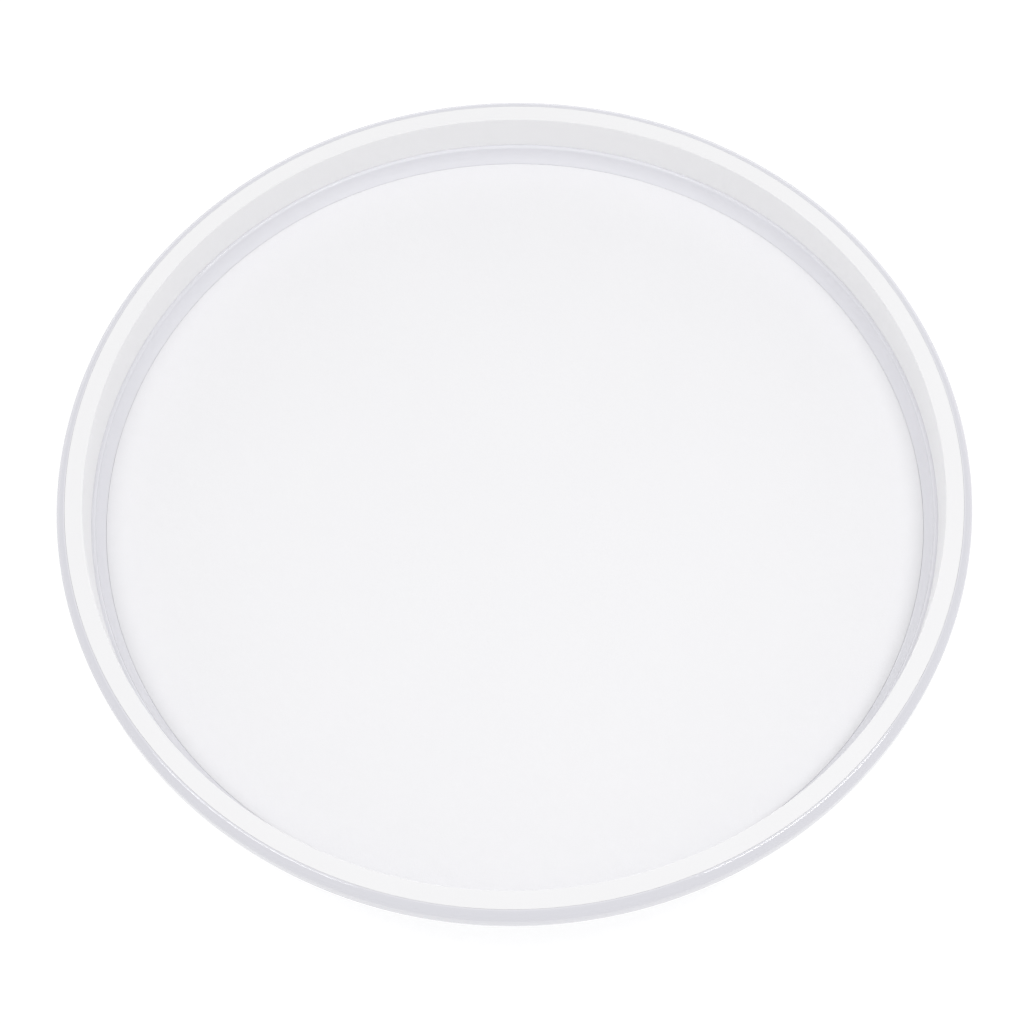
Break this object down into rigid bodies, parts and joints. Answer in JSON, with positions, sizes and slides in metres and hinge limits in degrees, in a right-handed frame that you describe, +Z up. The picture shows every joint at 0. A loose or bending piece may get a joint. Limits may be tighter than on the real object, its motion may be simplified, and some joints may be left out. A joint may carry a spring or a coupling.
{
  "type": "lazy susan turntable",
  "caption": "Round white serving turntable: walled tray with soft rim band and non-slip mat, turning on a ball race over a low base with rubber feet.",
  "frame": {"origin": "on the turning axis, on the worktop under the feet", "axes": "+Z up along the turning axis; +X towards the first foot and the first ball"},
  "size_m": [0.305, 0.305, 0.038],
  "materials": {
    "tray_plastic": "glossy white moulding",
    "band_rubber": "matte white soft-touch",
    "mat_rubber": "matte white, fine grain",
    "base_plastic": "satin white moulding",
    "foot_rubber": "matte grey",
    "cage_plastic": "natural grey acetal",
    "bush_plastic": "dark acetal",
    "washer_nylon": "natural nylon",
    "zinc_steel": "bright zinc plate",
    "ball_steel": "polished steel"
  },
  "bodies": {
    "base": {"base": "base_plastic", "pivot_bush": "bush_plastic", "slip_washer": "washer_nylon", "foot_1": "foot_rubber", "foot_2": "foot_rubber", "foot_3": "foot_rubber", "foot_4": "foot_rubber", "foot_5": "foot_rubber", "foot_6": "foot_rubber"},
    "tray": {"tray": "tray_plastic", "rim_band": "band_rubber", "floor_mat": "mat_rubber", "pivot_screw": "zinc_steel", "retaining_washer": "zinc_steel"},
    "ball_cage": {"ball_cage": "cage_plastic"},
    "bearing_ball_01": {"bearing_ball_01": "ball_steel"},
    "bearing_ball_02": {"bearing_ball_02": "ball_steel"},
    "bearing_ball_03": {"bearing_ball_03": "ball_steel"},
    "bearing_ball_04": {"bearing_ball_04": "ball_steel"},
    "bearing_ball_05": {"bearing_ball_05": "ball_steel"},
    "bearing_ball_06": {"bearing_ball_06": "ball_steel"},
    "bearing_ball_07": {"bearing_ball_07": "ball_steel"},
    "bearing_ball_08": {"bearing_ball_08": "ball_steel"},
    "bearing_ball_09": {"bearing_ball_09": "ball_steel"},
    "bearing_ball_10": {"bearing_ball_10": "ball_steel"},
    "bearing_ball_11": {"bearing_ball_11": "ball_steel"},
    "bearing_ball_12": {"bearing_ball_12": "ball_steel"},
    "bearing_ball_13": {"bearing_ball_13": "ball_steel"},
    "bearing_ball_14": {"bearing_ball_14": "ball_steel"},
    "bearing_ball_15": {"bearing_ball_15": "ball_steel"},
    "bearing_ball_16": {"bearing_ball_16": "ball_steel"}
  },
  "joints": [
    {"name": "tray_spin", "type": "hinge", "parent": "base", "child": "tray", "pos_m": [0, 0, 0], "axis": [0, 0, 1], "continuous": true},
    {"name": "cage_spin", "type": "hinge", "parent": "base", "child": "ball_cage", "pos_m": [0, 0, 0], "axis": [0, 0, 1], "continuous": true},
    {"name": "bearing_ball_01_roll", "type": "hinge", "parent": "ball_cage", "child": "bearing_ball_01", "pos_m": [0.08, 0, 0.00735], "axis": [1, 0, 0], "continuous": true},
    {"name": "bearing_ball_02_roll", "type": "hinge", "parent": "ball_cage", "child": "bearing_ball_02", "pos_m": [0.07391, 0.03061, 0.00735], "axis": [0.9239, 0.3827, 0], "continuous": true},
    {"name": "bearing_ball_03_roll", "type": "hinge", "parent": "ball_cage", "child": "bearing_ball_03", "pos_m": [0.05657, 0.05657, 0.00735], "axis": [0.7071, 0.7071, 0], "continuous": true},
    {"name": "bearing_ball_04_roll", "type": "hinge", "parent": "ball_cage", "child": "bearing_ball_04", "pos_m": [0.03061, 0.07391, 0.00735], "axis": [0.3827, 0.9239, 0], "continuous": true},
    {"name": "bearing_ball_05_roll", "type": "hinge", "parent": "ball_cage", "child": "bearing_ball_05", "pos_m": [0, 0.08, 0.00735], "axis": [0, 1, 0], "continuous": true},
    {"name": "bearing_ball_06_roll", "type": "hinge", "parent": "ball_cage", "child": "bearing_ball_06", "pos_m": [-0.03061, 0.07391, 0.00735], "axis": [-0.3827, 0.9239, 0], "continuous": true},
    {"name": "bearing_ball_07_roll", "type": "hinge", "parent": "ball_cage", "child": "bearing_ball_07", "pos_m": [-0.05657, 0.05657, 0.00735], "axis": [-0.7071, 0.7071, 0], "continuous": true},
    {"name": "bearing_ball_08_roll", "type": "hinge", "parent": "ball_cage", "child": "bearing_ball_08", "pos_m": [-0.07391, 0.03061, 0.00735], "axis": [-0.9239, 0.3827, 0], "continuous": true},
    {"name": "bearing_ball_09_roll", "type": "hinge", "parent": "ball_cage", "child": "bearing_ball_09", "pos_m": [-0.08, 0, 0.00735], "axis": [-1, 0, 0], "continuous": true},
    {"name": "bearing_ball_10_roll", "type": "hinge", "parent": "ball_cage", "child": "bearing_ball_10", "pos_m": [-0.07391, -0.03061, 0.00735], "axis": [-0.9239, -0.3827, 0], "continuous": true},
    {"name": "bearing_ball_11_roll", "type": "hinge", "parent": "ball_cage", "child": "bearing_ball_11", "pos_m": [-0.05657, -0.05657, 0.00735], "axis": [-0.7071, -0.7071, 0], "continuous": true},
    {"name": "bearing_ball_12_roll", "type": "hinge", "parent": "ball_cage", "child": "bearing_ball_12", "pos_m": [-0.03061, -0.07391, 0.00735], "axis": [-0.3827, -0.9239, 0], "continuous": true},
    {"name": "bearing_ball_13_roll", "type": "hinge", "parent": "ball_cage", "child": "bearing_ball_13", "pos_m": [0, -0.08, 0.00735], "axis": [0, -1, 0], "continuous": true},
    {"name": "bearing_ball_14_roll", "type": "hinge", "parent": "ball_cage", "child": "bearing_ball_14", "pos_m": [0.03061, -0.07391, 0.00735], "axis": [0.3827, -0.9239, 0], "continuous": true},
    {"name": "bearing_ball_15_roll", "type": "hinge", "parent": "ball_cage", "child": "bearing_ball_15", "pos_m": [0.05657, -0.05657, 0.00735], "axis": [0.7071, -0.7071, 0], "continuous": true},
    {"name": "bearing_ball_16_roll", "type": "hinge", "parent": "ball_cage", "child": "bearing_ball_16", "pos_m": [0.07391, -0.03061, 0.00735], "axis": [0.9239, -0.3827, 0], "continuous": true}
  ],
  "couplings": [
    {"joint": "cage_spin", "follows": "tray_spin", "ratio": 0.5},
    {"joint": "bearing_ball_01_roll", "follows": "tray_spin", "ratio": -13.333},
    {"joint": "bearing_ball_02_roll", "follows": "tray_spin", "ratio": -13.333},
    {"joint": "bearing_ball_03_roll", "follows": "tray_spin", "ratio": -13.333},
    {"joint": "bearing_ball_04_roll", "follows": "tray_spin", "ratio": -13.333},
    {"joint": "bearing_ball_05_roll", "follows": "tray_spin", "ratio": -13.333},
    {"joint": "bearing_ball_06_roll", "follows": "tray_spin", "ratio": -13.333},
    {"joint": "bearing_ball_07_roll", "follows": "tray_spin", "ratio": -13.333},
    {"joint": "bearing_ball_08_roll", "follows": "tray_spin", "ratio": -13.333},
    {"joint": "bearing_ball_09_roll", "follows": "tray_spin", "ratio": -13.333},
    {"joint": "bearing_ball_10_roll", "follows": "tray_spin", "ratio": -13.333},
    {"joint": "bearing_ball_11_roll", "follows": "tray_spin", "ratio": -13.333},
    {"joint": "bearing_ball_12_roll", "follows": "tray_spin", "ratio": -13.333},
    {"joint": "bearing_ball_13_roll", "follows": "tray_spin", "ratio": -13.333},
    {"joint": "bearing_ball_14_roll", "follows": "tray_spin", "ratio": -13.333},
    {"joint": "bearing_ball_15_roll", "follows": "tray_spin", "ratio": -13.333},
    {"joint": "bearing_ball_16_roll", "follows": "tray_spin", "ratio": -13.333}
  ]
}
